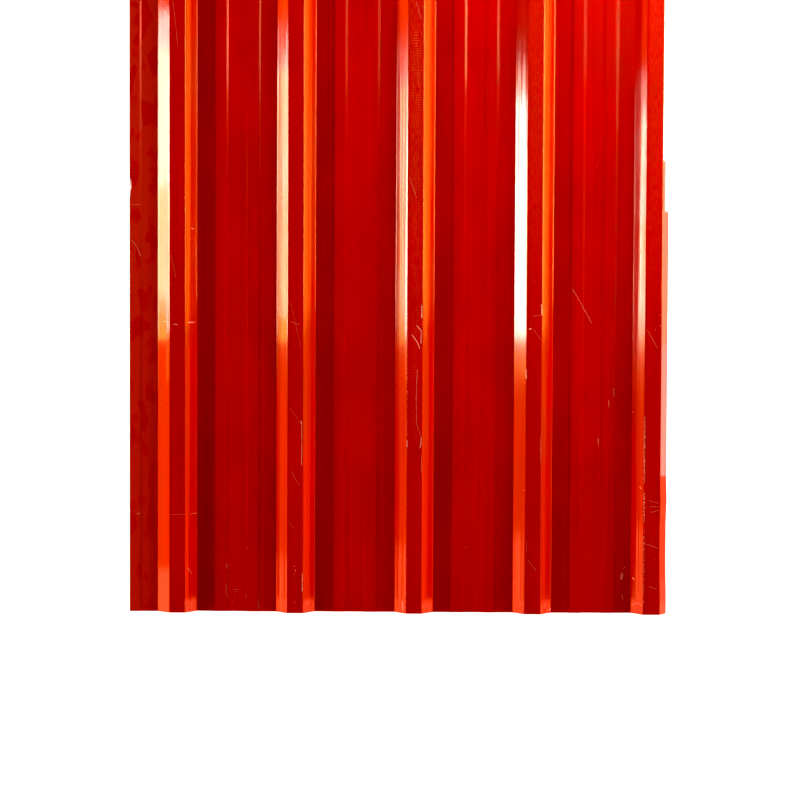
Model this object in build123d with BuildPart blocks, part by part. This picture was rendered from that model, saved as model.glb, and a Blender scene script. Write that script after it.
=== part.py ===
from build123d import *
import os

# A roll-formed roofing sheet: one strip of coated steel, bent along its length into
# trapezoidal ribs with flat pans between them. Millimetres. X runs across the ribs,
# Y along them and Z up. The origin is under the middle of the sheet, level with the
# underside of its pans.

# The stock
sheet_length = 2440.0
steel_thickness = 0.5

# The ribs, measured along the underside of the steel
rib_count = 5
rib_pitch = 250.0
rib_height = 25.0
rib_base = 81.0
rib_crown = 32.0
rib_bend = 3.0

# The pair of shallow stiffening beads that is raised in every pan
bead_spacing = 68.0
bead_top = 22.0
bead_slope = 5.0
bead_height = 2.0
bead_bend = 5.0

# The two long edges. The first rib has a flat foot with a raised lip, which the next
# sheet covers, and the last rib's outer flank stops short, so that it laps over.
lip_width = 20.5
free_flank_drop = 18.0

flank_run = (rib_base - rib_crown) / 2
bead_base = bead_top + 2 * bead_slope
half_pitch = rib_pitch / 2

# An outline is a list of corners, each a distance across, a height and the radius of
# the bend there. The inside of every bend has the same radius, so on the underside a
# bend that turns upwards is wider by the steel's thickness.
outer_rib_bend = rib_bend + steel_thickness
outer_bead_bend = bead_bend + steel_thickness


def rib_corners(centre):
    """The four bends of a whole rib."""
    return [
        (centre - rib_base / 2, 0, outer_rib_bend),
        (centre - rib_crown / 2, rib_height, rib_bend),
        (centre + rib_crown / 2, rib_height, rib_bend),
        (centre + rib_base / 2, 0, outer_rib_bend),
    ]


def bead_corners(centre):
    """The four bends of a stiffening bead."""
    return [
        (centre - bead_base / 2, 0, outer_bead_bend),
        (centre - bead_top / 2, bead_height, bead_bend),
        (centre + bead_top / 2, bead_height, bead_bend),
        (centre + bead_base / 2, 0, outer_bead_bend),
    ]


# The width is laid out from the middle of the first rib.
lip_bead = -half_pitch + bead_spacing / 2
left_edge = lip_bead + bead_top / 2 - lip_width
last_rib = (rib_count - 1) * rib_pitch
free_flank_run = flank_run * free_flank_drop / rib_height
right_edge = last_rib + rib_crown / 2 + free_flank_run

corners = [(left_edge, bead_height, 0)]
corners += bead_corners(lip_bead)[2:]
for number in range(rib_count - 1):
    rib = number * rib_pitch
    pan = rib + half_pitch
    corners += rib_corners(rib)
    corners += bead_corners(pan - bead_spacing / 2)
    corners += bead_corners(pan + bead_spacing / 2)
corners += rib_corners(last_rib)[:3]
corners += [(right_edge, rib_height - free_flank_drop, 0)]

middle = (left_edge + right_edge) / 2
underside = [(x - middle, z) for x, z, bend in corners]
bends = [bend for x, z, bend in corners[1:-1]]

# The sheet: its underside is drawn as one line of flats and round bends, thickened
# upwards by the steel, and drawn out to the sheet's length.
with BuildPart() as corrugated_sheet:
    with BuildSketch(Plane.XZ) as section:
        with BuildLine() as profile:
            FilletPolyline(*underside, radius=bends)
            offset(amount=steel_thickness, side=Side.LEFT)
        make_face()
    extrude(amount=sheet_length / 2, both=True)

corrugated_sheet.part.label = "corrugated_sheet"
export_step(corrugated_sheet.part, "parts/corrugated_sheet.step")

overall = corrugated_sheet.part.bounding_box().size
coil_width = section.sketch.area / steel_thickness
print(f"overall {overall.X:.1f} x {overall.Y:.1f} x {overall.Z:.1f} mm")
print(f"cover {(rib_count - 1) * rib_pitch:.0f} mm, flat strip {coil_width:.0f} mm")
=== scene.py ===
# %% [markdown]
# Corrugated metal sheet
#
# This lesson dresses one roll-formed roofing sheet: a strip of painted steel with five
# trapezoidal ribs, a pair of shallow stiffening beads in every pan, a flat foot on the
# left edge and a short free flank on the right. Its place and outer size come from the
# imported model. Blender adds what a size can't say: how it lies, its coat, wear and light.

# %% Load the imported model
import bmesh
import bpy
import math
import numpy as np
from mathutils import Euler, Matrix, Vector


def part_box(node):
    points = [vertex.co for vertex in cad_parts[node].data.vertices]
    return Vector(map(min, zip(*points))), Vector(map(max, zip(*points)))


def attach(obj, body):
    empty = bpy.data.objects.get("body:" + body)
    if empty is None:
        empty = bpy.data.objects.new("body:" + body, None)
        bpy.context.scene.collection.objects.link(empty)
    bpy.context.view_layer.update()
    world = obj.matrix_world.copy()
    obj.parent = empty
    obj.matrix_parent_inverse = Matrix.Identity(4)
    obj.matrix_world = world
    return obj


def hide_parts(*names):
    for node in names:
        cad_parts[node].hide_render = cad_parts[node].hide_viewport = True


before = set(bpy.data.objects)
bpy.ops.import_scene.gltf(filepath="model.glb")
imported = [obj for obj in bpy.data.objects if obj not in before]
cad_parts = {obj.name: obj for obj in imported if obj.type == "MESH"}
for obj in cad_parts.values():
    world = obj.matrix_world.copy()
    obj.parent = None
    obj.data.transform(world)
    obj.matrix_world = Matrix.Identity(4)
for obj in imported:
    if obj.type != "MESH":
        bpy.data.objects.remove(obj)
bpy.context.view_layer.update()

sheet_low, sheet_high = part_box("corrugated_sheet")
print("sheet from", tuple(round(v, 4) for v in sheet_low), "to", tuple(round(v, 4) for v in sheet_high))

# %% [markdown]
# The camera comes first, because the wear is placed by what it sees.
#
# The sheet lies on the floor and the camera hangs over its near half, about 3.2 m up,
# looking almost straight down. Its far end runs out of the picture at the top. The
# place, the turns and the lens below were found by matching the ribs' edges. A ray from
# the camera through a pixel, met with a level plane, gives the place on the sheet.

# %% Camera
scene = bpy.context.scene
image_side = 800
sensor_width = 36.0
camera_place = Vector((0.0096, -0.6812, 3.2))
camera_degrees = (-1.601, 0.129, 0.260)
camera_turn = Euler([math.radians(angle) for angle in camera_degrees], "XYZ")
camera_lens = 68.19

camera_data = bpy.data.cameras.new("overhead_camera")
camera_data.lens = camera_lens
camera_data.sensor_width = sensor_width
camera = bpy.data.objects.new("overhead_camera", camera_data)
camera.location = camera_place
camera.rotation_euler = camera_turn
scene.collection.objects.link(camera)
scene.camera = camera


def on_photo(column, row, height=0.0):
    """The point at that height which the camera sees at a pixel of the photograph."""
    reach = sensor_width / camera_lens / image_side
    ray = Vector(((column - image_side / 2) * reach, (image_side / 2 - row) * reach, -1))
    ray.rotate(camera_turn)
    return camera_place + ray * ((height - camera_place.z) / ray.z)


print("the picture's middle is at", tuple(round(v, 3) for v in on_photo(400, 400)))

# %% [markdown]
# The section repeats itself: five ribs at one pitch, and pans with two beads between
# them. So a few sizes in metres are enough. They are all taken on the underside of the
# steel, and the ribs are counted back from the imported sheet's right edge.

# %% Sizes of the section
rib_count = 5
rib_pitch = 0.250
rib_height = 0.025
rib_base = 0.081
rib_crown = 0.032
bead_spacing = 0.068
bead_top = 0.022
bead_slope = 0.005
bead_height = 0.002
steel = 0.0005

hair = 0.00001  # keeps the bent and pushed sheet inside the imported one's box
near_end, far_end = sheet_low.y + hair, sheet_high.y - hair
length = far_end - near_end
free_flank_drop = 0.018
flank_run = (rib_base - rib_crown) / 2
flank_slope = math.atan2(rib_height, flank_run)
left_edge = sheet_low.x
right_edge = sheet_high.x - steel * math.sin(flank_slope)
last_rib = right_edge - rib_crown / 2 - flank_run * free_flank_drop / rib_height
rib_centres = [last_rib - rib_pitch * (rib_count - 1 - n) for n in range(rib_count)]
print("ribs at", [round(rib, 4) for rib in rib_centres])

# %% [markdown]
# A fold is a place across the sheet and a height, and a list of all folds is the section.
# Every rib adds four folds and so does every bead. The foot on the left starts on the top
# of its bead, and the last rib stops partway down its outer flank.

# %% Where the folds are
def rib_folds(centre):
    """The four folds of a whole rib."""
    half_base, half_crown = rib_base / 2, rib_crown / 2
    return [(centre - half_base, 0), (centre - half_crown, rib_height),
            (centre + half_crown, rib_height), (centre + half_base, 0)]


def bead_folds(centre):
    """The four folds of a stiffening bead."""
    half_top = bead_top / 2
    half_base = half_top + bead_slope
    return [(centre - half_base, 0), (centre - half_top, bead_height),
            (centre + half_top, bead_height), (centre + half_base, 0)]


foot_bead = rib_centres[0] - rib_pitch / 2 + bead_spacing / 2
folds = [(left_edge, bead_height)] + bead_folds(foot_bead)[2:]
for rib in rib_centres[:-1]:
    pan = rib + rib_pitch / 2
    folds += rib_folds(rib)
    folds += bead_folds(pan - bead_spacing / 2)
    folds += bead_folds(pan + bead_spacing / 2)
folds += rib_folds(last_rib)[:3]
folds += [(right_edge, rib_height - free_flank_drop)]
print(len(folds) - 1, "flats")

# %% [markdown]
# An operator works on whatever is selected, and by hand that is a click. A script has
# no hand, so it selects by place: these helpers go through the vertices, edges or faces
# in edit mode and pick the ones that a test says yes to.

# %% Select by place
tiny = 1e-5  # closer than this is the same place


def only(piece):
    """Makes one piece the selected and active one."""
    bpy.ops.object.select_all(action="DESELECT")
    bpy.context.view_layer.objects.active = piece
    piece.select_set(True)


def select_in_edit(piece, kind, wanted):
    """Selects the vertices, edges or faces of a piece in edit mode that are wanted."""
    bpy.ops.mesh.select_mode(type=kind)
    bpy.ops.mesh.select_all(action="DESELECT")
    shape = bmesh.from_edit_mesh(piece.data)
    things = {"VERT": shape.verts, "EDGE": shape.edges, "FACE": shape.faces}[kind]
    chosen = 0
    for thing in things:
        if wanted(thing):
            thing.select_set(True)
            chosen += 1
    shape.select_flush_mode()
    bmesh.update_edit_mesh(piece.data)
    return chosen


def edge_middle(edge):
    """The point halfway along an edge."""
    return (edge.verts[0].co + edge.verts[1].co) / 2


def runs_along(edge):
    """True for an edge that runs along the ribs."""
    a, b = edge.verts[0].co, edge.verts[1].co
    return abs(a.y - b.y) > tiny


# %% [markdown]
# The section is made the way the mill bends it, one fold after another.
#
# A cut-out flat shape could be extruded instead, but folding starts from one flat facet,
# a plane at the lip of the foot, whose right edge is pulled out again and again: along
# the foot, up a rib, over its crown and down, and along the pan with its two beads. Each
# pull is one flat of the sheet, as long as the sheet, so every fold is a true edge.

# %% Fold the strip
(first_x, first_z), (second_x, _) = folds[:2]
bpy.ops.object.select_all(action="DESELECT")
bpy.ops.mesh.primitive_plane_add(
    size=1, location=((first_x + second_x) / 2, (near_end + far_end) / 2, first_z))
sheet = bpy.context.active_object
sheet.name = sheet.data.name = "painted_sheet"
sheet.scale = (second_x - first_x, length, 1)
only(sheet)
bpy.ops.object.transform_apply(location=True, rotation=True, scale=True)

bpy.ops.object.mode_set(mode="EDIT")
select_in_edit(sheet, "EDGE", lambda e: runs_along(e) and abs(edge_middle(e).x - second_x) < tiny)
for (x0, z0), (x1, z1) in zip(folds[1:-1], folds[2:]):
    bpy.ops.mesh.extrude_region_move(TRANSFORM_OT_translate={"value": (x1 - x0, 0, z1 - z0)})
bpy.ops.object.mode_set(mode="OBJECT")
print("folded:", len(sheet.data.polygons), "flats")

# %% [markdown]
# No fold in sheet steel is sharp. The rolls leave an inside radius of about 3 mm on the
# ribs and 5 mm on the shallow beads, and those small rounds carry the thin bright lines
# that run the length of the sheet. Bevel rounds every fold: the ribs' first, then the
# beads', each with the width that its radius takes from the two flats beside it.

# %% Round the bends
def tangent(radius, run, rise):
    """How much of each flat a bend of this radius takes."""
    return radius * math.tan(math.atan2(rise, run) / 2)


rib_radius, bead_radius = 0.0032, 0.0052
rib_bend = tangent(rib_radius, flank_run, rib_height)
bead_bend = tangent(bead_radius, bead_slope, bead_height)
rib_fold_places = [x for rib in rib_centres for x, z in rib_folds(rib)]
inner_folds = [x for x, z in folds[1:-1]]
bead_fold_places = [x for x in inner_folds if min(abs(x - r) for r in rib_fold_places) > tiny]


def round_folds(places, width, segments):
    """Rounds the folds at these places across. The width is what it takes from each flat."""
    count = select_in_edit(sheet, "EDGE", lambda e: runs_along(e) and any(
        abs(edge_middle(e).x - place) < tiny for place in places))
    bpy.ops.mesh.bevel(offset_type="OFFSET", offset=width, segments=segments,
                       profile=0.5, affect="EDGES", clamp_overlap=False)
    print("rounded", count, "folds by", round(width * 1000, 2), "mm")


only(sheet)
bpy.ops.object.mode_set(mode="EDIT")
round_folds([x for x in rib_fold_places if x < right_edge], rib_bend, segments=4)
round_folds(bead_fold_places, bead_bend, segments=3)
bpy.ops.object.mode_set(mode="OBJECT")

# %% [markdown]
# No two ribs of a real sheet are quite alike. On this one the foot has sprung up, which
# splays the first flank, the free flank has closed a little, the pans lie tilted or a bit
# high, and some crown folds stand a hair to one side. A degree there decides which flanks
# catch the light, so it is worth bending in. It is done now, while every flat is still
# one face: a fold is moved or a flat is turned about its fold, and all flats stay flat.

# %% Bend the sheet as it lies
fold_reach = rib_bend * 1.2
foot_lift = 0.006
free_flank_turn = math.radians(-6)
pan_lifts = [(0, 0.004), (0, 0.002), (0.002, 0.002), (0.003, 0)]  # left and right side
crown_shifts = {(0, -1): 0.002, (0, 1): 0.002, (4, -1): -0.002}  # rib and side: shift


def turn_about(wanted, angle, x, z):
    """Turns vertices about a line along the sheet. A positive angle lifts what is right of it."""
    select_in_edit(sheet, "VERT", wanted)
    bpy.ops.transform.rotate(value=angle, orient_axis="Y", center_override=(x, 0, z))


only(sheet)
bpy.ops.object.mode_set(mode="EDIT")
first_base = rib_centres[0] - rib_base / 2
select_in_edit(sheet, "VERT", lambda v: v.co.x < first_base + fold_reach)
bpy.ops.transform.translate(value=(0, 0, foot_lift))
free_fold = last_rib + rib_crown / 2
turn_about(lambda v: v.co.x > free_fold + tiny, free_flank_turn, free_fold, rib_height)
for pan, (left_lift, right_lift) in enumerate(pan_lifts):
    start = rib_centres[pan] + rib_base / 2
    end = rib_centres[pan + 1] - rib_base / 2
    select_in_edit(sheet, "VERT", lambda v: start - fold_reach < v.co.x < end + fold_reach)
    bpy.ops.transform.translate(value=(0, 0, left_lift))
    turn_about(lambda v: start + fold_reach < v.co.x < end + fold_reach,
               (right_lift - left_lift) / (end - start), start, left_lift)
for (rib, side), shift in crown_shifts.items():
    fold = rib_centres[rib] + side * rib_crown / 2
    select_in_edit(sheet, "VERT", lambda v: abs(v.co.x - fold) < fold_reach)
    bpy.ops.transform.translate(value=(shift, 0, 0))
bpy.ops.object.mode_set(mode="OBJECT")
heights = [v.co.z for v in sheet.data.vertices]
print("bent, from", round(min(heights), 4), "to", round(max(heights), 4), "m high")

# %% [markdown]
# Steel this thin dents easily, so the flats need points to move. Two cuts across each
# wide flat and a row every 18 mm along the sheet are enough for a soft dent, and they
# keep the whole piece well under two hundred thousand triangles.

# %% Divide the flats
row_spacing = 0.018
wide_flat = 0.012
only(sheet)
bpy.ops.object.mode_set(mode="EDIT")
select_in_edit(sheet, "EDGE", lambda e: not runs_along(e) and e.calc_length() > wide_flat)
bpy.ops.mesh.subdivide(number_cuts=2)
select_in_edit(sheet, "EDGE", runs_along)
bpy.ops.mesh.subdivide(number_cuts=round(length / row_spacing) - 1)
bpy.ops.object.mode_set(mode="OBJECT")
print("divided into", len(sheet.data.polygons), "faces")

# %% [markdown]
# Now the sheet is handled, and three knocks show in its outline: the right edge has a
# kink, its near corner flares out, and the foot has a nick. Each is one soft push, a move
# with proportional editing that fades out with distance, as a dent in thin steel does.

# %% Push the metal
def push(place, move, radius):
    """Moves the metal nearest to a place, and less and less of it out to a radius."""
    nearest = min(sheet.data.vertices, key=lambda v: (v.co - place).length_squared).index
    only(sheet)
    bpy.ops.object.mode_set(mode="EDIT")
    bpy.ops.mesh.select_mode(type="VERT")
    bpy.ops.mesh.select_all(action="DESELECT")
    shape = bmesh.from_edit_mesh(sheet.data)
    shape.verts.ensure_lookup_table()
    shape.verts[nearest].select_set(True)
    bmesh.update_edit_mesh(sheet.data)
    bpy.ops.transform.translate(value=move, use_proportional_edit=True,
                                proportional_edit_falloff="SMOOTH", proportional_size=radius)
    bpy.ops.object.mode_set(mode="OBJECT")


pushes = {
    # name: its pixel on the photograph, its height, how far it moves, how far it is felt
    "edge_kink": ((666, 500), 0.012, (0.0018, 0, 0), 0.045),
    "near_corner": ((668, 606), 0.012, (0.0018, 0, 0), 0.090),
    "foot_nick": ((130, 187), 0.008, (0.0022, 0, 0.001), 0.020),
}
for pixel, height, move, radius in pushes.values():
    push(on_photo(*pixel, height), move, radius)
print("pushed:", ", ".join(pushes))

# %% [markdown]
# The steel is half a millimetre thick. Solidify raises the second face from the drawn
# one, which is the underside, and closes the cut ends and edges. Even thickness keeps
# the bends as thick as the flats. Weighted normals then leave the flats flat and put
# all the rounding in the bends.

# %% Give the steel its thickness
only(sheet)
bpy.ops.object.mode_set(mode="EDIT")
bpy.ops.mesh.select_all(action="SELECT")
bpy.ops.mesh.normals_make_consistent(inside=False)
bpy.ops.object.mode_set(mode="OBJECT")
faces_up = sum(face.normal.z * face.area for face in sheet.data.polygons) > 0
thickness = sheet.modifiers.new("thickness", "SOLIDIFY")
thickness.thickness = steel - hair / 10  # so that no rounding lifts it past the box
thickness.offset = 1 if faces_up else -1
thickness.use_even_offset = True
thickness.use_quality_normals = True
bpy.ops.object.modifier_apply(modifier=thickness.name)
bpy.ops.object.mode_set(mode="EDIT")
bpy.ops.mesh.select_all(action="SELECT")
bpy.ops.mesh.normals_make_consistent(inside=False)
bpy.ops.object.mode_set(mode="OBJECT")
bpy.ops.object.shade_smooth_by_angle(angle=math.radians(40))
weighted = sheet.modifiers.new("weighted", "WEIGHTED_NORMAL")
weighted.keep_sharp = True
bpy.ops.object.modifier_apply(modifier=weighted.name)
triangles = sum(len(face.vertices) - 2 for face in sheet.data.polygons)
print("steel", steel, "m thick,", triangles, "triangles")

# %% [markdown]
# The paint is a coil coating. It goes on the flat strip before the strip is rolled, so
# it is thin, glossy and even, and everything that touched the sheet later shows in it.
# An image could be wrapped on, but it would suit one size and one light. Here nodes work
# the finish out from the place on the object. This small class keeps that short: each
# method adds a node or a few, and hands back the socket that carries the result.

# %% Material helpers
class Finish:
    """A material, with short ways to add nodes that read the place on the object."""

    def __init__(self, name):
        self.material = bpy.data.materials.new(name)
        self.material.use_nodes = True
        self.nodes = self.material.node_tree.nodes
        self.links = self.material.node_tree.links
        self.shader = self.nodes["Principled BSDF"]
        self.place = self.nodes.new("ShaderNodeTexCoord").outputs["Object"]
        parts = self.add("ShaderNodeSeparateXYZ", {"Vector": self.place}).outputs
        self.x, self.y, self.z = parts

    def add(self, kind, inputs=(), **settings):
        """Adds a node. Each input is a socket to link or a value to set."""
        node = self.nodes.new(kind)
        for key, value in settings.items():
            setattr(node, key, value)
        for key, value in dict(inputs).items():
            if isinstance(value, bpy.types.NodeSocket):
                self.links.new(value, node.inputs[key])
            else:
                node.inputs[key].default_value = value
        return node

    def math(self, operation, a, b=0.0, clamp=False):
        return self.add("ShaderNodeMath", {0: a, 1: b}, operation=operation, use_clamp=clamp).outputs[0]

    def noise(self, stretch, detail=2.0, roughness=0.5, offset=(0, 0, 0)):
        """Noise whose cells are 1 m over the stretch, so 100 makes cells of 10 mm."""
        spot = self.add("ShaderNodeMapping", {"Vector": self.place, "Location": offset, "Scale": stretch})
        return self.add("ShaderNodeTexNoise", {"Vector": spot.outputs[0], "Scale": 1.0, "Detail": detail,
                                               "Roughness": roughness}).outputs["Fac"]

    def between(self, value, low, high, to_low=0.0, to_high=1.0):
        """Runs smoothly from one value to the other as the input goes from low to high."""
        return self.add("ShaderNodeMapRange", {"Value": value, "From Min": low, "From Max": high,
                                               "To Min": to_low, "To Max": to_high},
                        interpolation_type="SMOOTHSTEP").outputs["Result"]

    def near(self, value, centre, reach):
        """Is 1 at the centre and 0 beyond the reach."""
        return self.between(self.math("ABSOLUTE", self.math("SUBTRACT", value, centre)), 0, reach, 1, 0)

    def inside(self, value, low, high, soft):
        """Is 1 from low to high, with soft ends."""
        rises = self.between(value, low - soft, low + soft)
        return self.math("MULTIPLY", rises, self.between(value, high - soft, high + soft, 1, 0))

    def both(self, *masks):
        """Where all of the masks are."""
        result = masks[0]
        for mask in masks[1:]:
            result = self.math("MULTIPLY", result, mask)
        return result

    def either(self, *masks):
        """Where any of the masks is."""
        result = masks[0]
        for mask in masks[1:]:
            result = self.math("MAXIMUM", result, mask)
        return result

    def blend(self, amount, first, second):
        """Goes from the first colour to the second."""
        mixer = self.add("ShaderNodeMix", {"Factor": amount, 6: first, 7: second}, data_type="RGBA")
        return mixer.outputs[2]

    def bump(self, height, distance, under=None):
        """Bends the light as if the surface rose by the distance where the height is 1."""
        inputs = {"Height": height, "Distance": distance}
        if under is not None:
            inputs["Normal"] = under
        return self.add("ShaderNodeBump", inputs).outputs["Normal"]

    def finish(self, colour, roughness, normal):
        """Links the finished sockets to the shader."""
        for name, socket in (("Base Color", colour), ("Roughness", roughness), ("Normal", normal)):
            self.links.new(socket, self.shader.inputs[name])


# %% [markdown]
# The marks come first. On the real sheet each has its cause: another sheet slid over a
# crown, a corner dragged through a pan, a stack stood on the foot. A mark is a line
# between points of the photograph, and the camera's ray turns each point into a place on
# the metal. Long thin ones are scratches, and one point alone is a chip or a spot. These
# are the bright ones, where the paint is gone.

# %% Where the bright marks are
on_crown, on_flank, on_pan = rib_height + steel, rib_height / 2, steel
on_foot = foot_lift + bead_height
bright_marks = {
    # name: height, width in millimetres, points on the photograph
    "foot_nick": (on_foot, 1.8, [(130.8, 180), (131.4, 184), (131, 189)]),
    "foot_dash": (on_foot, 0.8, [(137, 513.7), (140.3, 513.5)]),
    "foot_speck": (on_foot, 0.8, [(142, 517)]),
    "rib_1_crease_flank": (on_flank, 1.3, [(188.4, 322.4), (194, 322.2)]),
    "rib_1_crease_crown": (on_crown, 1.2, [(173.2, 324), (177.6, 324.7)]),
    "rib_1_upper_speck": (on_flank, 1.0, [(191.6, 228.6), (193.2, 228.4)]),
    "rib_1_dot": (on_flank, 1.1, [(161.7, 403.5)]),
    "rib_2_edge_chip": (on_crown, 1.6, [(301.2, 421), (301.6, 424.5)]),
    "rib_2_edge_line": (on_crown, 0.7, [(301.6, 425), (301.8, 440), (301.5, 466)]),
    "rib_2_low_edge": (on_crown, 0.8, [(302.3, 573), (302.2, 592)]),
    "rib_2_spot_a": (on_crown, 1.5, [(294.3, 566.3)]),
    "rib_2_spot_b": (on_crown, 1.7, [(295.3, 570.4)]),
    "rib_2_spot_c": (on_crown, 1.2, [(294.9, 602.4)]),
    "rib_3_hook": (on_crown, 1.2, [(412, 335), (416, 340.2), (418.3, 344.2), (420, 349.4)]),
    "rib_3_hook_over": (on_crown, 1.3, [(416.6, 325.5), (419, 328), (421.7, 331.5)]),
    "rib_3_edge_worn": (on_crown, 1.6, [(421.9, 305), (421.7, 318)]),
    "rib_3_edge_pale": (on_crown, 1.1, [(421.3, 332), (420.9, 344)]),
    "rib_3_long_end": (on_crown, 1.5, [(421.2, 437.8), (420.9, 444.7), (419.9, 448)]),
    "rib_3_left_chip": (on_crown, 1.4, [(406.9, 440), (407.1, 447)]),
    "rib_3_end_chip": (on_crown, 1.6, [(402.4, 602), (402.8, 612)]),
    "rib_4_edge_chip": (on_crown, 1.8, [(541.6, 304.5), (542, 315)]),
    "rib_4_blob": (on_crown, 2.0, [(529.4, 329.2), (531, 328.6)]),
    "rib_4_left_chips": (on_crown, 1.7, [(526.3, 369.7), (526, 373.5), (526.4, 378.6)]),
    "rib_4_left_spot": (on_crown, 1.6, [(524.6, 490.5)]),
    "rib_4_end_chip": (on_flank, 1.6, [(550.6, 609), (549.8, 611)]),
    "rib_5_edge_speck_a": (on_crown, 1.2, [(660.4, 314.8)]),
    "rib_5_edge_speck_b": (on_crown, 1.5, [(660.4, 325.8)]),
    "rib_5_speck": (on_crown, 1.3, [(655.4, 329.6)]),
    "rib_5_flank_spot": (on_flank, 1.2, [(633.7, 412.4)]),
    "rib_5_small_mark": (on_crown, 1.3, [(640.4, 487.2), (641.2, 488.8)]),
    "rib_5_low_chip": (on_flank, 1.4, [(633, 578.2), (634.4, 579.6)]),
    "pan_3_spot": (on_pan, 1.3, [(466, 547)]),
}
print(len(bright_marks), "bright marks")

# %% [markdown]
# The faint marks are hair scratches, creases and smudges that went only partway through
# the paint. Their list is of the same kind, and they get part of the strength later.

# %% Where the faint marks are
faint_marks = {
    # name: height, width in millimetres, points on the photograph
    "foot_cross_line": (on_foot, 0.9, [(131, 204.5), (140.5, 204.6)]),
    "foot_ring": (on_foot, 1.6, [(132, 240), (137, 247), (140.5, 256)]),
    "rib_1_crown_hair": (on_crown, 0.8, [(172.8, 0), (176, 28), (178, 48.5)]),
    "rib_1_middle_hair": (on_crown, 0.8, [(171, 253.5), (176.3, 279.5)]),
    "rib_1_cross_line": (on_crown, 0.8, [(169.6, 514.6), (186, 514.4)]),
    "rib_1_cross_flank": (on_flank, 1.0, [(190, 513.8), (196.5, 513.7)]),
    "rib_1_crease_left": (on_flank, 0.9, [(158.5, 321.8), (168, 321.5)]),
    "rib_1_low_mark": (on_flank, 1.2, [(187.5, 566.7), (192, 573.7)]),
    "pan_1_dot_a": (on_pan, 1.5, [(227, 563), (227.2, 568.6)]),
    "pan_1_dot_b": (on_pan, 1.3, [(227, 575.6)]),
    "pan_1_squiggle": (on_pan, 1.0, [(225.8, 584), (227, 588), (226, 592), (228.4, 597)]),
    "pan_1_dash_a": (on_pan, 1.0, [(233.5, 589.4), (238.5, 589.2)]),
    "pan_1_dash_b": (on_pan, 0.9, [(235, 591.6), (238, 591.6)]),
    "pan_1_tick": (on_pan, 1.0, [(245.5, 593), (246.9, 597)]),
    "pan_1_hair": (on_pan, 1.0, [(247.8, 547), (248.4, 550.5)]),
    "pan_1_curl": (on_pan, 1.0, [(259, 595.4), (259.3, 599.8), (258.3, 603), (260, 608.8)]),
    "pan_1_spot": (on_pan, 1.4, [(216.6, 599.8)]),
    "rib_2_vee_a": (on_crown, 0.6, [(290, 300), (301.5, 350)]),
    "rib_2_vee_b": (on_crown, 0.7, [(290, 408), (301.5, 425)]),
    "rib_2_diagonal": (on_crown, 0.9, [(290.8, 471), (299.7, 486.3)]),
    "rib_2_low_diagonal": (on_crown, 0.8, [(288.3, 520.8), (294, 529.7)]),
    "rib_2_tail": (on_crown, 0.9, [(295.3, 571.8), (293.4, 577.5)]),
    "rib_2_crease": (on_crown, 1.1, [(290, 321.5), (300, 325)]),
    "rib_3_top_diagonal": (on_crown, 0.9, [(415.6, 0), (422, 20.4)]),
    "rib_3_diagonal": (on_crown, 1.1, [(408.6, 175.4), (416.9, 198.3)]),
    "rib_3_long": (on_crown, 1.2, [(417.5, 368.9), (416.5, 385), (416.2, 403), (416.7, 424), (419.4, 432),
                                   (421.2, 437.8)]),
    "rib_3_edge_line": (on_crown, 0.8, [(420.8, 345), (420.6, 430)]),
    "rib_3_low_edge": (on_crown, 0.9, [(421.5, 454), (421.5, 474)]),
    "rib_4_cross": (on_crown, 0.9, [(533, 316.2), (541, 315.4)]),
    "rib_4_diagonal": (on_crown, 0.9, [(533.2, 328.9), (541.5, 340.4)]),
    "rib_4_low_line": (on_crown, 0.8, [(526.4, 540), (526.5, 552.5)]),
    "rib_4_low_diagonal": (on_crown, 0.9, [(527, 559.4), (536.7, 571.4)]),
    "rib_4_right_edge": (on_crown, 1.0, [(540.4, 436), (540.3, 463)]),
    "pan_4_scuff": (on_pan, 1.4, [(572, 288.7), (579.7, 301.5), (583.5, 309), (588, 316), (591.2, 323)]),
    "pan_4_smudge_a": (on_pan, 1.5, [(613.5, 388), (613.8, 397)]),
    "pan_4_smudge_b": (on_pan, 1.8, [(608.4, 400), (608.8, 407)]),
    "pan_4_smudge_c": (on_pan, 1.8, [(598.2, 438), (598.3, 446)]),
    "pan_4_blob": (on_pan, 5.0, [(621.9, 573.8), (621.4, 578.6)]),
    "pan_4_blob_tail": (on_pan, 1.8, [(623.8, 568.4), (625, 566.8)]),
    "pan_4_low_dots": (on_pan, 1.8, [(621.8, 595.4), (623, 599.4)]),
    "rib_5_diagonal": (on_crown, 0.9, [(646.7, 328.9), (658.2, 349.3)]),
    "rib_5_low_diagonal": (on_crown, 1.2, [(643.7, 543.3), (650, 545.2), (657.8, 548.6)]),
    "rib_5_last_diagonal": (on_crown, 0.9, [(648, 586.3), (657.3, 589.4)]),
    "rib_5_fan_a": (on_crown, 0.9, [(648, 500.6), (659.5, 503.4)]),
    "rib_5_fan_b": (on_crown, 0.9, [(649.5, 506.5), (659.5, 507)]),
    "rib_5_fan_c": (on_crown, 0.9, [(650.5, 512.6), (659.5, 510)]),
    "rib_5_spot_a": (on_crown, 1.5, [(655, 559.4)]),
    "rib_5_spot_b": (on_crown, 1.5, [(657.6, 570.6)]),
    "rib_5_end_arc": (on_flank, 2.6, [(632.4, 606), (635, 603.6), (638.5, 603.2), (641, 605)]),
}
print(len(faint_marks), "faint marks")

# %% [markdown]
# A node tree has no pencil, and eighty lines worked out at every point would be slow. A
# decal is quick: each face under a mark keeps the mark's own coordinates at its corners,
# how far along it they are and how far beside it, counted in half lengths and half
# widths, and how strong it is. They grow evenly over a flat face, so they stay exact.
# Faces far from any mark keep a far-off value. Where two marks share a face, the second
# goes into the next of three layers.

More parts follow.
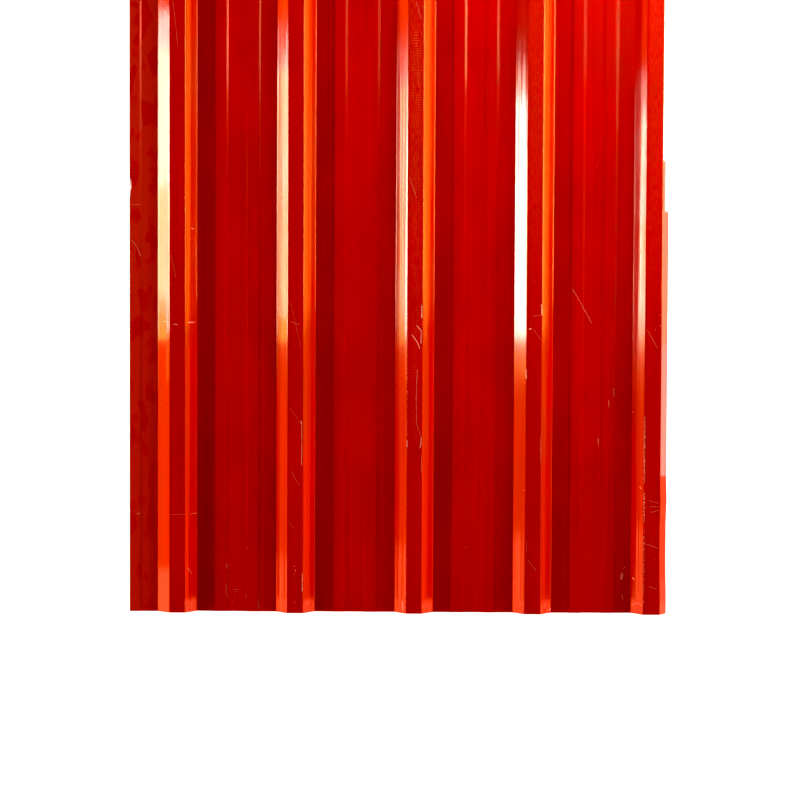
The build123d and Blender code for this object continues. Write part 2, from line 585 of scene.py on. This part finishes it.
# %% Room for the marks
far_off = 99.0
layer_names = ["marks_a", "marks_b", "marks_c"]
mesh = sheet.data
corner_count, face_count = len(mesh.loops), len(mesh.polygons)
vertex_places = np.empty(len(mesh.vertices) * 3)
mesh.vertices.foreach_get("co", vertex_places)
corner_vertices = np.empty(corner_count, int)
mesh.loops.foreach_get("vertex_index", corner_vertices)
first_corners = np.empty(face_count, int)
mesh.polygons.foreach_get("loop_start", first_corners)
corners_seen = vertex_places.reshape(-1, 3)[corner_vertices][:, :2]
face_of_corner = np.repeat(np.arange(face_count), np.diff(np.append(first_corners, corner_count)))
face_low = np.minimum.reduceat(corners_seen, first_corners)
face_high = np.maximum.reduceat(corners_seen, first_corners)
layers = np.full((len(layer_names), corner_count, 3), (far_off, far_off, 0.0))
taken = np.zeros((len(layer_names), face_count), bool)
print("room for marks on", face_count, "faces, in", len(layer_names), "layers")

# %% [markdown]
# Which faces does a mark touch? It is walked in millimetre steps, and a face counts when
# a step falls in the face's box, seen from above and made wider by a margin. The first
# layer in which all of those faces are still free takes the mark.

# %% Lay the marks on the faces
walk_step = 0.001


def lay_mark(start, end, half_width, strength):
    """Writes one straight mark on the faces under it, and says whether there was room."""
    reach = np.array([end.x - start.x, end.y - start.y])
    half_length = np.hypot(*reach) / 2
    along = reach / half_length / 2 if half_length else np.array([1.0, 0.0])
    beside = np.array([-along[1], along[0]])
    margin = half_width * 2
    under = np.zeros(face_count, bool)
    for part in np.linspace(0, 1, 2 + int(half_length / walk_step)):
        spot = np.array([start.x, start.y]) + reach * part
        under |= np.all((face_low < spot + margin) & (face_high > spot - margin), axis=1)
    for layer, used in zip(layers, taken):
        if not np.any(used & under):
            used |= under
            chosen = under[face_of_corner]
            off = corners_seen[chosen] - np.array([start.x + end.x, start.y + end.y]) / 2
            layer[chosen, 0] = off @ along / (half_length + half_width)
            layer[chosen, 1] = off @ beside / half_width
            layer[chosen, 2] = strength
            return True
    return False


faint_strength = 0.27
left_out = 0
for marks, strength in ((bright_marks, 1.0), (faint_marks, faint_strength)):
    for height, width, points in marks.values():
        places = [on_photo(column, row, height) for column, row in points]
        starts, ends = places[:-1], places[1:]
        if len(places) == 1:
            starts = ends = places
        for start, end in zip(starts, ends):
            if not lay_mark(start, end, width / 2000, strength):
                left_out += 1
for name, layer in zip(layer_names, layers):
    mesh.attributes.new(name, "FLOAT_VECTOR", "CORNER").data.foreach_set("vector", layer.ravel())
print("marks laid on", int(taken.any(axis=0).sum()), "faces,", left_out, "had no room")

# %% [markdown]
# The shader reads the three layers back. No scratch is ruled with a ruler: a little noise
# pushes each line to and fro by part of its width, and breaks it where the paint held.

# %% Read the marks back
red = Finish("red_coil_coat")
wander = 1.6
wobble = red.math("SUBTRACT", red.noise((420, 420, 420)), 0.5)
lines = []
for name in layer_names:
    mark = red.add("ShaderNodeAttribute", attribute_name=name).outputs["Vector"]
    along, beside, strength = red.add("ShaderNodeSeparateXYZ", {"Vector": mark}).outputs
    beside = red.math("ADD", beside, red.math("MULTIPLY", wobble, wander))
    in_length = red.between(red.math("ABSOLUTE", along), 0.75, 1.05, 1, 0)
    in_width = red.between(red.math("ABSOLUTE", beside), 0.6, 1.3, 1, 0)
    lines.append(red.both(strength, in_length, in_width))
broken = red.between(red.noise((420, 420, 0), detail=2, offset=(7, 3, 0)), 0.36, 0.52, 0.35, 1)
scratches = red.both(red.either(*lines), broken)
print("red coat has", len(red.nodes), "nodes so far")

# %% [markdown]
# Wear also follows the shape. To place it, the finish has to know where on a rib it is.
# All ribs are alike, so the place across is folded into one pitch, and what counts is the
# distance from the nearest rib's middle. Along the sheet, a row of the photograph says
# where a worn stretch starts and ends.

# %% Where on the ribs
before_rib_1 = rib_centres[0] - rib_pitch / 2
in_pitch = red.math("FLOORED_MODULO", red.math("SUBTRACT", red.x, before_rib_1), rib_pitch)
off_rib = red.math("ABSOLUTE", red.math("SUBTRACT", in_pitch, rib_pitch / 2))


def row_place(row):
    """How far along the sheet a row of the photograph is, on the crowns."""
    return on_photo(image_side / 2, row, on_crown).y


def stretch_along(first_row, last_row, soft=0.012):
    """Is 1 between two rows of the photograph."""
    return red.inside(red.y, row_place(last_row), row_place(first_row), soft)


print("the photograph's rows 0 and 612 are at", round(row_place(0), 3), round(row_place(612), 3))

# %% [markdown]
# The crown folds stand highest, so whatever is laid on the sheet knocks them first. Chips
# sit on a few stretches of the left folds. A chip is where a coarse, ragged noise rises
# over a limit, inside a narrow band along the fold.

# %% Chips on the folds
chip_grain = red.noise((520, 260, 0), detail=4, roughness=0.65, offset=(2, 8, 0))
chipped_folds = {
    # name: the fold's place, its width, its first and last row, how much is left
    "rib_3_left": (rib_centres[2] - rib_crown / 2, 0.0018, 300, 612, 0.57),
    "rib_5_left_far": (rib_centres[4] - rib_crown / 2 - 0.0015, 0.0026, 418, 480, 0.50),
    "rib_5_left_near": (rib_centres[4] - rib_crown / 2 - 0.0010, 0.0026, 492, 520, 0.50),
    "rib_5_left_end": (rib_centres[4] - rib_crown / 2 - 0.0008, 0.0024, 528, 606, 0.55),
}
chipped = []
for fold, width, first_row, last_row, left in chipped_folds.values():
    rubbed = red.both(red.near(red.x, fold, width), stretch_along(first_row, last_row))
    chipped.append(red.both(rubbed, red.between(chip_grain, left, left + 0.05)))
chips = red.either(*chipped)
print("chips on", len(chipped_folds), "stretches")

# %% [markdown]
# The third crown has a ladder of chatter marks, where a roll skidded: fine ticks across
# it, about 5 mm apart, made by a sine of the place along the sheet that drifts a little.
# The last three crowns are paler and more orange in fine streaks, more towards the far end:
# partly rubs, partly a painted sheen.

# %% Chatter, rubs and painted sheen on the crowns
tick_spacing = 0.0052
unevenness = 14
tick_drift = red.math("MULTIPLY", red.noise((30, 12, 0), offset=(1, 2, 0)), unevenness)
tick_phase = red.math("ADD", red.math("MULTIPLY", red.y, math.tau / tick_spacing), tick_drift)
ticks = red.between(red.math("SINE", tick_phase), 0.0, 0.9)
tick_patches = red.between(red.noise((110, 36, 0), detail=3, offset=(4, 7, 0)), 0.40, 0.55)
chatter_band = red.near(red.x, rib_centres[2] + 0.001, 0.014)
chatter_fade = red.between(red.y, row_place(150), row_place(80), 0.45, 1)
chatter = red.both(ticks, tick_patches, chatter_band, chatter_fade, stretch_along(30, 440))

on_crowns = red.between(off_rib, rib_crown / 2 - 0.002, rib_crown / 2 + 0.001, 1, 0)
right_ribs = red.between(red.x, rib_centres[2] - 0.03, rib_centres[2] - 0.02)
rubbed_sheen_streaks = red.between(red.noise((520, 70, 0), detail=3, offset=(8, 5, 0)), 0.42, 0.62)
# Painted sheen, partly rubs: the last three crowns grow paler towards the far end, in streaks.
rubbed_sheen = red.both(on_crowns, right_ribs, rubbed_sheen_streaks, red.between(red.y, row_place(440), row_place(100)))
print("ticks every", tick_spacing * 1000, "mm")

# %% [markdown]
# The foot was once wet, and dried in blotches with a thin tide line round them. At the
# cut end the last few centimetres of the flanks are paler and a little rougher, in a
# grainy band.

# %% Stains on the foot, paler flanks at the cut end
foot_mask = red.between(red.x, first_base - 0.002, first_base + 0.001, 1, 0)
pools = red.noise((34, 15, 0), detail=1, offset=(5, 1, 0))
drops = red.add("ShaderNodeTexVoronoi", {"Vector": red.place, "Scale": 24.0}).outputs["Distance"]
dried = red.both(red.between(pools, 0.42, 0.47), red.between(drops, 0.22, 0.30, 0.55, 1))
tide_lines = red.both(red.near(pools, 0.475, 0.012), red.noise((60, 60, 0), offset=(3, 6, 0)))
stains = red.math("MULTIPLY", foot_mask, red.math("ADD", dried, tide_lines))

flanks = red.inside(off_rib, rib_crown / 2 + 0.002, rib_base / 2 - 0.002, 0.001)
cut_end = red.between(red.y, near_end + 0.020, near_end + 0.034, 1, 0)
pale_end_grain = red.between(red.noise((160, 60, 0), detail=3, offset=(9, 9, 0)), 0.3, 0.6, 0.5, 1)
# The flanks' last few centimetres at the cut end are made paler and rougher.
pale_flank_ends = red.both(flanks, cut_end, pale_end_grain)
print("red coat has", len(red.nodes), "nodes with its wear")

# %% [markdown]
# Under the wear lies the grain of the coat itself: soft clouds, streaks and hair-thin
# lines along the sheet, all left by the rolls, and a few specks of dust. The red is
# almost free of green and blue, as strong reds are.

# %% Grain and colours of the red coat
clouds = red.noise((9, 5, 9), detail=4, offset=(3, 1, 0))
streaks = red.noise((95, 2.2, 0), detail=3, offset=(6, 6, 0))
hair_streaks = red.noise((560, 1.3, 0), detail=2, offset=(1, 9, 0))
roll_lines = red.noise((110, 0.7, 0), detail=3)
fine_lines = red.noise((700, 6, 0), detail=2, offset=(0, 4, 0))
dust = red.between(red.noise((330, 330, 330), detail=2, offset=(4, 4, 4)), 0.745, 0.79)

clean_red = (0.33, 0.0012, 0.0005, 1)
dull_red = (0.258, 0.0020, 0.0010, 1)
stained_red = (0.31, 0.0100, 0.0040, 1)
# Paler red for the chatter, for the painted sheen in rubbed streaks on the last crowns, and for the
# flanks' near ends.
rubbed_and_sheen_red = (0.48, 0.050, 0.020, 1)
pale_primer = (0.66, 0.34, 0.26, 1)
print("red coat has", len(red.nodes), "nodes with its grain")

# %% [markdown]
# Now the finish is put together, from the whole sheet to the smallest mark. Streaks dull
# the red, stains brown it, the chatter and a painted sheen in rubbed streaks on the last
# crowns are paler, and so are the flanks' near ends. Chips and scratches go down to the
# primer, which is rougher than the gloss around it. Three bumps bend the reflections: the
# fine orange peel of a rolled coat, long soft roll lines, and the small steps where paint
# is chipped or the roll chattered.

# %% Red coat
chatter_share, rubbed_sheen_share, pale_end_share, chip_share, dust_share = 0.70, 0.20, 0.6, 0.8, 0.4
dullness = red.math("ADD", red.between(clouds, 0.35, 0.7, 0, 0.6), red.between(streaks, 0.4, 0.7, 0, 0.4))
dullness = red.math("ADD", dullness, red.between(hair_streaks, 0.35, 0.7, 0, 0.6), True)
tint = red.blend(dullness, clean_red, dull_red)
tint = red.blend(stains, tint, stained_red)
tint = red.blend(red.math("MULTIPLY", chatter, chatter_share), tint, rubbed_and_sheen_red)
# Painted sheen, partly rubs, on the last three crowns towards the far end.
tint = red.blend(red.math("MULTIPLY", rubbed_sheen, rubbed_sheen_share), tint, rubbed_and_sheen_red)
tint = red.blend(red.math("MULTIPLY", pale_flank_ends, pale_end_share), tint, rubbed_and_sheen_red)
paint_off = red.either(scratches, red.math("MULTIPLY", chips, chip_share),
                       red.math("MULTIPLY", dust, dust_share))
tint = red.blend(paint_off, tint, pale_primer)

cloud_gloss = red.between(clouds, 0.3, 0.7, 0.08, 0.12)
gloss = red.math("ADD", cloud_gloss, red.between(fine_lines, 0.3, 0.7, 0, 0.03))
worn = red.either(red.math("MULTIPLY", paint_off, 0.3), red.math("MULTIPLY", stains, 0.08),
                  red.math("MULTIPLY", pale_flank_ends, 0.15))
rough = red.math("ADD", gloss, worn)

peel = red.bump(red.noise((1100, 1100, 1100), detail=1), 0.000012)
normal = red.bump(roll_lines, 0.0005, under=peel)
normal = red.bump(red.math("SUBTRACT", 1, red.either(chips, chatter)), 0.00010, under=normal)
red.finish(tint, rough, normal)
red_coat = red.material
print("red coat has", len(red.nodes), "nodes in all")

# %% [markdown]
# The underside of such a sheet isn't meant to be seen. It has one thin grey backer coat,
# washed on over the primer, with the rolls' streaks and a few dull rubs in it.

# %% Backer coat
grey_wash = (0.50, 0.51, 0.50, 1)
pale_wash = (0.58, 0.59, 0.57, 1)
rubbed_grey = (0.40, 0.39, 0.37, 1)
grey = Finish("grey_backer_coat")
wash = grey.noise((60, 1.5, 0), detail=4, offset=(2, 2, 0))
dull_rubs = grey.between(grey.noise((14, 6, 14), detail=4, offset=(8, 0, 0)), 0.5, 0.68)
backer_colour = grey.blend(grey.between(wash, 0.35, 0.65), grey_wash, pale_wash)
backer_colour = grey.blend(grey.math("MULTIPLY", dull_rubs, 0.5), backer_colour, rubbed_grey)
backer_rough = grey.between(wash, 0.3, 0.7, 0.36, 0.46)
backer_rough = grey.math("ADD", backer_rough, grey.math("MULTIPLY", dull_rubs, 0.12))
backer_normal = grey.bump(wash, 0.0003, under=grey.bump(grey.noise((900, 900, 900)), 0.00002))
grey.finish(backer_colour, backer_rough, backer_normal)
backer = grey.material
print("backer coat has", len(grey.nodes), "nodes")

# %% [markdown]
# The cut ends and long edges show the steel itself: grey, with the shear's fine upright
# lines, and a dull brown bloom where it has begun to tarnish.

# %% Cut steel
bright_steel = (0.56, 0.53, 0.50, 1)
tarnish = (0.36, 0.19, 0.11, 1)
bare = Finish("cut_steel")
bare.shader.inputs["Metallic"].default_value = 0.8
shear_lines = bare.noise((1500, 1500, 60), detail=2)
bloom = bare.between(bare.noise((35, 35, 35), detail=4, offset=(1, 5, 2)), 0.46, 0.62)
steel_colour = bare.blend(bare.math("MULTIPLY", bloom, 0.7), bright_steel, tarnish)
steel_rough = bare.between(shear_lines, 0.3, 0.7, 0.32, 0.46)
steel_rough = bare.math("ADD", steel_rough, bare.math("MULTIPLY", bloom, 0.2))
bare.finish(steel_colour, steel_rough, bare.bump(shear_lines, 0.00003))
cut_steel = bare.material
print("three finishes:", red_coat.name, backer.name, cut_steel.name)

# %% [markdown]
# One piece, three finishes. A face's normal says which it gets: the cut ends look along
# the sheet, the two long edges are the narrow faces at its sides, and of the rest, what
# looks up is painted red and what looks down has the backer coat.

# %% Give every face its finish
for material in (red_coat, backer, cut_steel):
    sheet.data.materials.append(material)

painted, backed, cut = 0, 1, 2
face_counts = [0, 0, 0]
left_rim, right_rim = left_edge + 0.004, right_edge - 0.002
widest_cut_face = steel * row_spacing * 1.6
for face in sheet.data.polygons:
    on_cut_end = abs(face.normal.y) > 0.7
    at_the_rim = face.center.x < left_rim or face.center.x > right_rim
    on_long_edge = at_the_rim and abs(face.normal.z) < 0.9 and face.area < widest_cut_face
    if on_cut_end or on_long_edge:
        face.material_index = cut
    else:
        face.material_index = backed if face.normal.z < 0 else painted
    face_counts[face.material_index] += 1
print("faces painted, backed and cut:", face_counts)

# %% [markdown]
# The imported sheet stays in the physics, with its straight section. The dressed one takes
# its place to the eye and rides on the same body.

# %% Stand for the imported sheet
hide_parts("corrugated_sheet")
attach(sheet, "root")
print(sheet.name, "stands for the packed sheet")

# %% [markdown]
# The photograph has no background at all, only white. A plain floor that glows a little
# gives the same white, and still takes the thin shadow under the ribs' ends. It is kept
# out of the reflections, because a mirror-like coat would show a whole floor of it.

# %% Floor
floor_size = 16
bpy.ops.object.select_all(action="DESELECT")
bpy.ops.mesh.primitive_plane_add(size=floor_size, location=(0, 0, 0))
floor = bpy.context.active_object
floor.name = "studio_floor"
floor_finish = Finish("white_floor")
floor_settings = {"Base Color": (0.93, 0.93, 0.94, 1), "Roughness": 0.8, "Specular IOR Level": 0.1,
                  "Emission Color": (1, 1, 1, 1), "Emission Strength": 0.8}
for setting, value in floor_settings.items():
    floor_finish.shader.inputs[setting].default_value = value
floor.data.materials.append(floor_finish.material)
floor.visible_glossy = False
print("white floor,", floor_size, "m square")

# %% [markdown]
# A glossy sheet is lit twice. Wide soft lights, low on both sides, give its colour, and
# are kept out of its reflections. The pans and crowns mirror straight up, so nothing may
# hang there, or they turn grey. Then lights that only show in reflections draw the
# highlights. One function makes both kinds.

# %% Soft lights
def soft_light(name, place, target, across, up, radiance, colour, seen_on, spread=180):
    """A rectangular light, seen on surfaces or in reflections. Radiance is its brightness."""
    light_data = bpy.data.lights.new(name, "AREA")
    light_data.shape = "RECTANGLE"
    light_data.size = across
    light_data.size_y = up
    light_data.energy = radiance * math.pi * across * up
    light_data.color = colour
    light_data.spread = math.radians(spread)
    light = bpy.data.objects.new(name, light_data)
    light.location = place
    light.rotation_euler = (Vector(target) - Vector(place)).to_track_quat("-Z", "Y").to_euler()
    light.visible_glossy = seen_on == "reflections"
    light.visible_diffuse = seen_on == "surfaces"
    light.visible_camera = False
    scene.collection.objects.link(light)


middle_y = camera_place.y
middle = (0, middle_y, 0)
left_colour, right_colour, plain = (1, 0.5, 0.35), (1, 0.6, 0.5), (1, 1, 1)
soft_lights = {
    # name: its place, what it looks at, its width and height, radiance, colour and spread
    "left_side": ((-7.6, middle_y, 2.7), middle, 8.0, 1.4, 40, left_colour, 180),
    "right_side": ((7.6, middle_y, 2.5), middle, 8.0, 2.4, 19, right_colour, 180),
    "right_close": ((3.2, middle_y, 2.3), middle, 2.5, 0.9, 4, right_colour, 180),
    "far_right": ((1.25, 0.85, 1.05), (0.6, 0.3, 0), 0.7, 0.7, 13, plain, 100),
}
for name, (place, target, width, up, radiance, colour, spread) in soft_lights.items():
    soft_light(name, place, target, width, up, radiance, colour, "surfaces", spread)
print(len(soft_lights), "soft lights")

# %% [markdown]
# A strip is an upright light that only reflections see. Each flank mirrors a narrow band
# of height, a few degrees over the floor and far to its own side. A metre from the middle
# that is under 9 cm for three of the left flanks and 19 cm for the fourth. The splayed
# first one looks up more steeply, so its strips stand farther off and higher. A white
# band with orange over it gives each flank its own share of both, and a red glow runs on
# where the white ends. The right side is all warm. The strips that stand highest draw the
# hair lines along folds and beads.

# %% Strips for the reflections
strip_end = middle_y + 0.06
white, orange = (1, 0.74, 0.50), (1, 0.38, 0.03)
ember, glow_red = (1, 0.24, 0.02), (1, 0.08, 0.002)
strips = {
    # name: its place across, from and to in height, from and to along the sheet,
    # radiance and colour
    "left_low": (-1.0, 0, 0.077, -0.58, 0.105, 27, white),
    "left_low_end": (-1.0, 0, 0.077, -0.64, -0.58, 18, orange),
    "left_upper": (-1.0, 0.077, 0.135, -0.64, 0.065, 20, (1, 0.38, 0.05)),
    "left_first": (-1.6, 0.205, 0.28, -0.20, 0.29, 27, (1, 0.90, 0.80)),
    "left_first_end": (-1.6, 0.205, 0.28, -0.52, -0.20, 17, (1, 0.82, 0.55)),
    "left_high": (-1.0, 0.165, 0.27, strip_end, 0.08, 50, (1, 0.82, 0.68)),
    "left_high_end": (-1.0, 0.16, 0.27, -0.74, strip_end, 8, orange),
    "left_high_far": (-1.0, 0.16, 0.27, 0.08, 0.16, 12, (1, 0.22, 0.02)),
    "left_far": (-1.0, 0, 0.120, 0.10, 0.60, 20, (1, 0.06, 0)),
    "left_near_low": (-0.8, 0, 0.075, -1.63, -0.63, 8, glow_red),
    "left_near_high": (-0.8, 0.075, 0.245, -1.63, -0.63, 8, (1, 0.07, 0.003)),
    "near_left_high": (-1.0, 0.085, 0.225, -1.95, -1.20, 11, (0.8, 0.13, 0.05)),
    "near_left_low": (-0.8, 0.015, 0.045, -1.65, -1.08, 8, (0.8, 0.15, 0.07)),
    "left_folds": (-1.6, 0.40, 0.60, -0.60, 0.0, 50, (1, 0.7, 0.35)),
    "right_low": (1.2, 0, 0.082, strip_end, strip_end + 1.1, 24, ember),
    "right_middle": (1.2, 0.082, 0.11, -0.58, strip_end + 1.1, 20, (1, 0.16, 0.01)),
    "right_lowest": (1.2, 0, 0.04, strip_end, strip_end + 0.9, 50, ember),
    "right_high": (1.2, 0.11, 0.28, -0.56, strip_end + 1.1, 12, (1, 0.16, 0.01)),
    "right_fade": (1.2, 0, 0.11, -0.95, strip_end, 4, (1, 0.25, 0.02)),
    "right_near": (1.2, 0, 0.28, -1.75, strip_end, 8, (1, 0.05, 0)),
    "right_folds": (1.6, 0.38, 0.60, -0.50, 0.60, 90, (1, 0.40, 0.08)),
    "right_folds_near": (1.6, 0.38, 0.60, -1.60, -0.50, 12, (1, 0.25, 0.03)),
    "foot_bead": (1.6, 3.05, 3.40, 0.60, 1.15, 32, (1, 0.13, 0.07)),
    "foot_bead_end": (1.6, 3.05, 3.40, 0.22, 0.60, 14, (1, 0.08, 0.03)),
    "pan_1_bead": (1.6, 2.90, 3.20, 0.53, 1.05, 26, (1, 0.5, 0.25)),
    "pan_2_bead": (1.0, 1.30, 1.45, 0.20, 0.70, 6, (1, 0.3, 0.1)),
    "pan_3_bead": (1.0, 0.83, 0.95, 0.12, 0.45, 20, (1, 0.5, 0.2)),
    "pan_4_bead": (1.0, 0.34, 0.42, -0.10, 0.30, 8, (1, 0.45, 0.15)),
}
for name, (x, low, high, near, far, radiance, colour) in strips.items():
    y, z = (near + far) / 2, (low + high) / 2
    soft_light(name, (x, y, z), (0, y, z), far - near, high - low, radiance, colour, "reflections")
print(len(strips), "strips")

# %% [markdown]
# The free flank looks down, so it mirrors the floor just beside it. A white page lies
# there along the far half, and dimmer and redder ones nearer, where the flank turns a
# little at the kink in its edge and at the corner. One more, high and far off, warms the
# far right corner a little.

# %% Glows on the floor and far off
floor_glows = {
    # from and to across, from and to along the sheet, its radiance in red, green and blue
    "far": (0.575, 0.755, -0.26, 0.70, (38, 34, 29)),
    "far_tip": (0.575, 0.592, -0.37, -0.26, (26, 20, 16)),
    "middle_tip": (0.592, 0.755, -0.37, -0.26, (6.3, 2.6, 1.7)),
    "middle": (0.575, 0.755, -0.65, -0.37, (6.3, 3.2, 1.7)),
    "near": (0.575, 0.755, -0.93, -0.65, (6.2, 3.5, 2.6)),
    "dent": (0.575, 0.755, -1.02, -0.93, (6.3, 0.75, 0.22)),
    "end": (0.575, 0.755, -1.15, -1.02, (6.3, 0.6, 0.2)),
    "corner": (0.575, 0.755, -1.40, -1.15, (6.3, 0.9, 0.4)),
}
for name, (left, right, near, far, glow) in floor_glows.items():
    x, y = (left + right) / 2, (near + far) / 2
    soft_light("floor_glow_" + name, (x, y, 0.002), (x, y, 1), right - left, far - near, 1, glow,
               "reflections")
soft_light("corner_glow", (1.5, 1.0, 3.0), (0.4, 0, 0), 1.0, 1.0, 0.5, (1, 0.3, 0.05), "reflections")
print(len(floor_glows) + 1, "glows")

# %% [markdown]
# Last, the room and the film. The room adds next to nothing. The standard view keeps the
# red as strong as it is, and a black level on green and blue drops the last of both,
# because the reds in the photograph have almost none.

# %% Room and film
world = bpy.data.worlds.new("studio")
scene.world = world
world.use_nodes = True
background = world.node_tree.nodes["Background"]
background.inputs["Color"].default_value = (1, 1, 1, 1)
background.inputs["Strength"].default_value = 0.02
film = scene.view_settings
film.view_transform = "Standard"
film.use_curve_mapping = True
film.curve_mapping.black_level = (0, 0.005, 0.007)
film.curve_mapping.update()
print("film:", film.view_transform)
